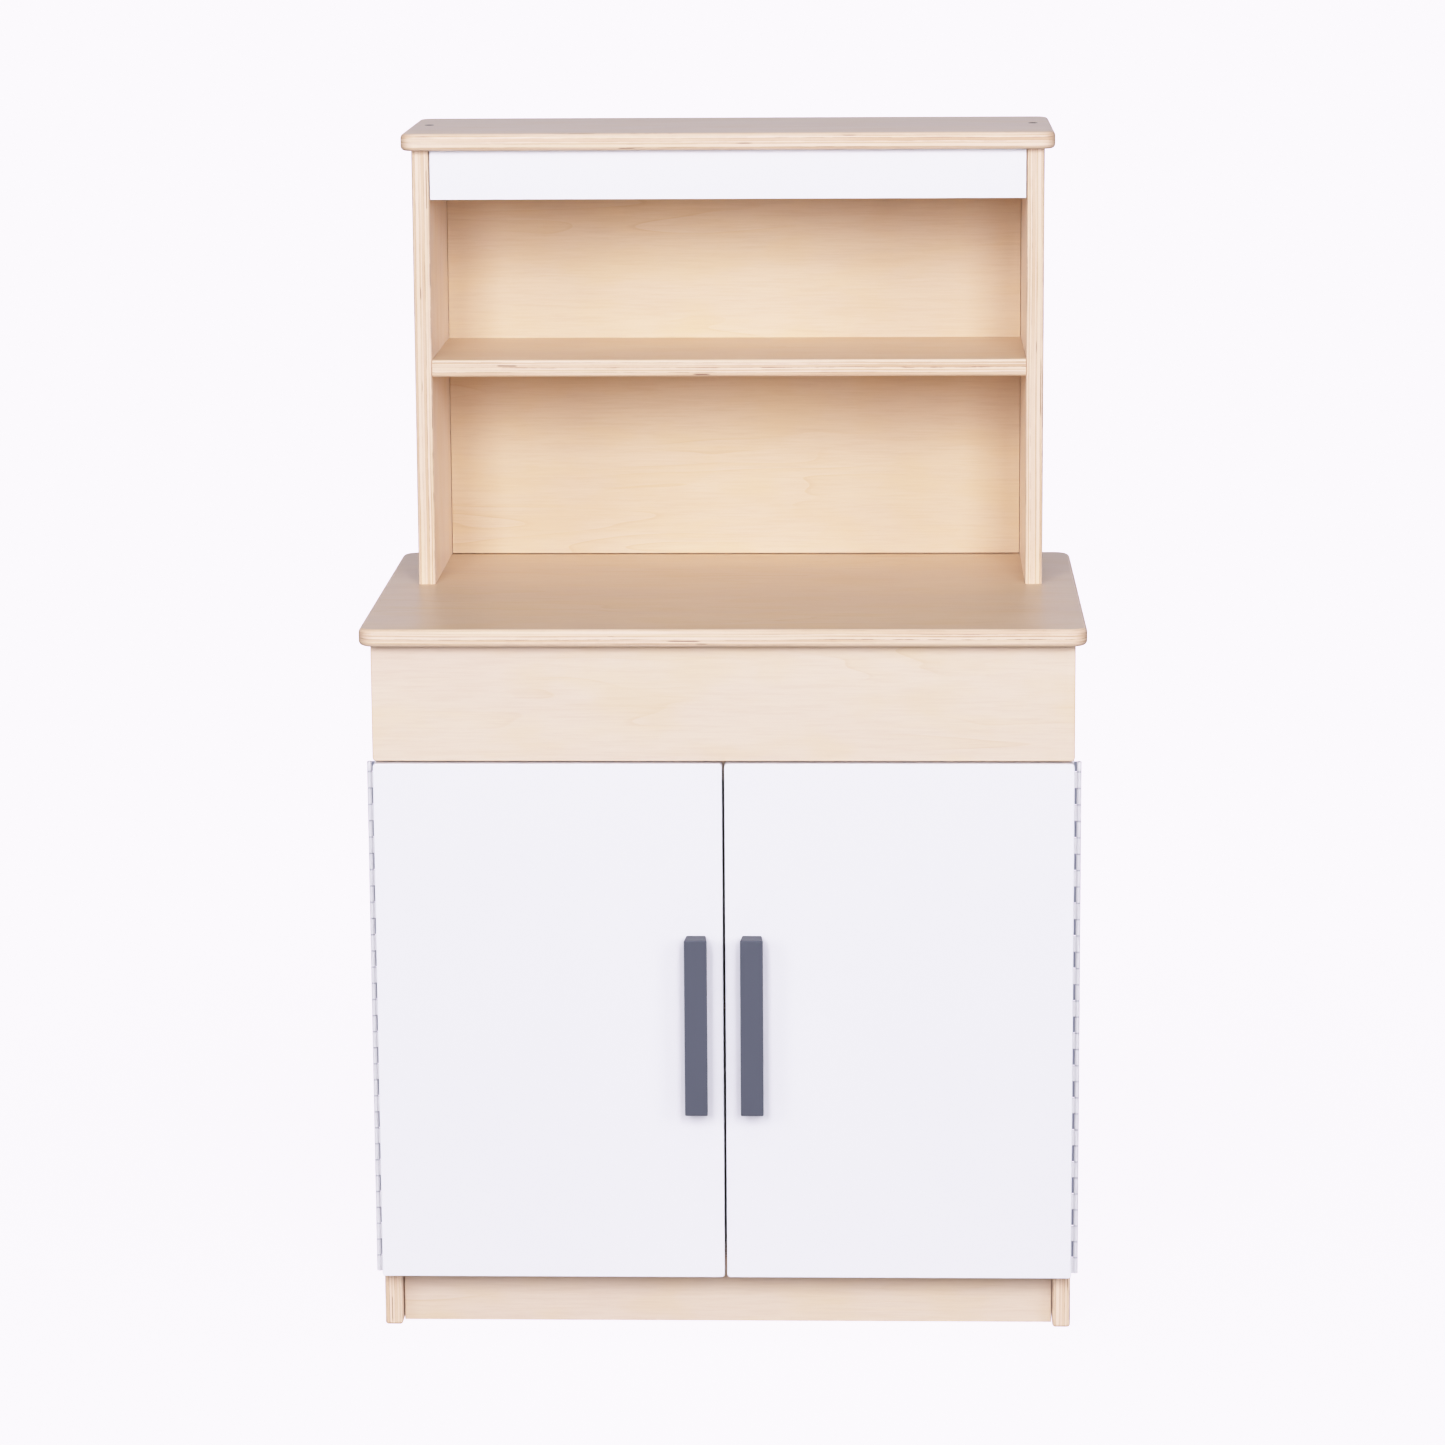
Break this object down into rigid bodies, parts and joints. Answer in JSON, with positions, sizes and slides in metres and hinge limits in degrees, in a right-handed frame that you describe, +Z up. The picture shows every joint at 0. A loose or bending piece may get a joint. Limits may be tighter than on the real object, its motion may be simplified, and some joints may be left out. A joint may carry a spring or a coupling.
{
  "type": "toy kitchen",
  "caption": "Toddler's plywood play-kitchen cupboard: a worktop over hinged white doors with bar handles, and an open shelved hutch with a white valance.",
  "frame": {"origin": "on the floor, at the centre of the footprint", "axes": "+Z up, +X to the right of a child facing the doors, doors face -Y"},
  "size_m": [0.61, 0.41, 1.013],
  "materials": {
    "birch_plywood": "clear satin lacquer over birch veneer, ply edges showing",
    "birch_back_panel": "clear satin lacquer over birch veneer",
    "white_paint": "smooth satin white paint",
    "grey_handle": "satin mid grey",
    "white_hinge": "white powder coat",
    "plated_steel": "zinc plated",
    "dark_screw": "dark bronze",
    "white_plastic": "moulded white"
  },
  "bodies": {
    "cabinet": {"worktop": "birch_plywood", "base_left_side": "birch_plywood", "base_right_side": "birch_plywood", "base_bottom": "birch_plywood", "base_back": "birch_back_panel", "cupboard_shelf": "birch_plywood", "shelf_pins": "plated_steel", "front_rail": "birch_plywood", "fascia_panel": "birch_plywood", "plinth_board": "birch_plywood", "worktop_cleats": "birch_plywood", "cleat_screws": "plated_steel", "hutch_left_side": "birch_plywood", "hutch_right_side": "birch_plywood", "hutch_back": "birch_back_panel", "hutch_shelf": "birch_plywood", "hutch_valance": "white_paint", "hutch_top": "birch_plywood", "hutch_top_screws": "dark_screw", "hutch_foot_screws": "plated_steel", "left_hinge_frame_leaf": "white_hinge", "right_hinge_frame_leaf": "white_hinge", "left_hinge_pin": "plated_steel", "right_hinge_pin": "plated_steel", "hinge_frame_screws": "white_hinge", "door_catches": "white_plastic", "catch_poles": "plated_steel", "catch_screws": "plated_steel"},
    "left_door_leaf": {"left_door": "white_paint", "left_handle": "grey_handle", "left_handle_screws": "plated_steel", "left_hinge_door_leaf": "white_hinge", "left_hinge_door_screws": "white_hinge", "left_strike_plate": "plated_steel", "left_strike_screw": "plated_steel"},
    "right_door_leaf": {"right_door": "white_paint", "right_handle": "grey_handle", "right_handle_screws": "plated_steel", "right_hinge_door_leaf": "white_hinge", "right_hinge_door_screws": "white_hinge", "right_strike_plate": "plated_steel", "right_strike_screw": "plated_steel"}
  },
  "joints": [
    {"name": "left_door_hinge", "type": "hinge", "parent": "cabinet", "child": "left_door_leaf", "pos_m": [-0.2997, -0.171, 0.274], "axis": [0, 0, -1], "range_deg": [0, 205]},
    {"name": "right_door_hinge", "type": "hinge", "parent": "cabinet", "child": "right_door_leaf", "pos_m": [0.2997, -0.171, 0.274], "axis": [0, 0, 1], "range_deg": [0, 205]}
  ]
}
